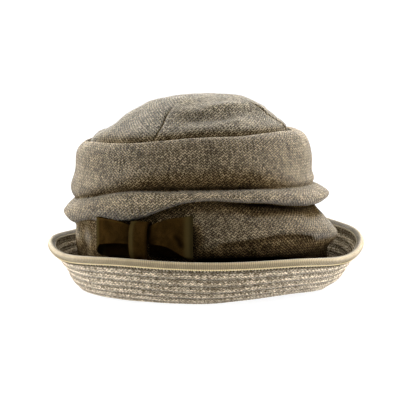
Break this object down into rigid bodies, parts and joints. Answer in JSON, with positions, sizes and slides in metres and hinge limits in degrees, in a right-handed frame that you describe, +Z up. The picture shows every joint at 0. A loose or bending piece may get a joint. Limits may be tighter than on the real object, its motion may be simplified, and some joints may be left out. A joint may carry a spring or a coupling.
{
  "type": "winter hat",
  "caption": "Knitted cloche hat with a soft panelled dome, a side band draped in rolls, a turned-up stitched brim with ribbon binding, and a flat suede bow.",
  "frame": {"origin": "middle of the surface that the hat stands on, under the middle of its brim", "axes": "+Z up to the top of the dome, +X along the hat's length, away from the bow's end, and -Y the side with the bow"},
  "size_m": [0.2493, 0.2214, 0.1546],
  "materials": {
    "crown_knit": "heathered grey-brown wool knit, small stitches in rows, slightly fuzzy, matt",
    "brim_knit": "double wool knit, flattened by close rows of stitching, matt",
    "binding_ribbon": "olive ribbed ribbon with a row of small stitches along its lower edge, low sheen",
    "bow_suede": "dark brown suede ribbon with a soft short nap"
  },
  "bodies": {
    "root": {"crown_panel_1": "crown_knit", "crown_panel_2": "crown_knit", "crown_panel_3": "crown_knit", "crown_panel_4": "crown_knit", "draped_band": "crown_knit", "brim": "brim_knit", "brim_binding": "binding_ribbon", "bow_left_loop": "bow_suede", "bow_right_loop": "bow_suede", "bow_knot": "bow_suede"}
  },
  "joints": []
}
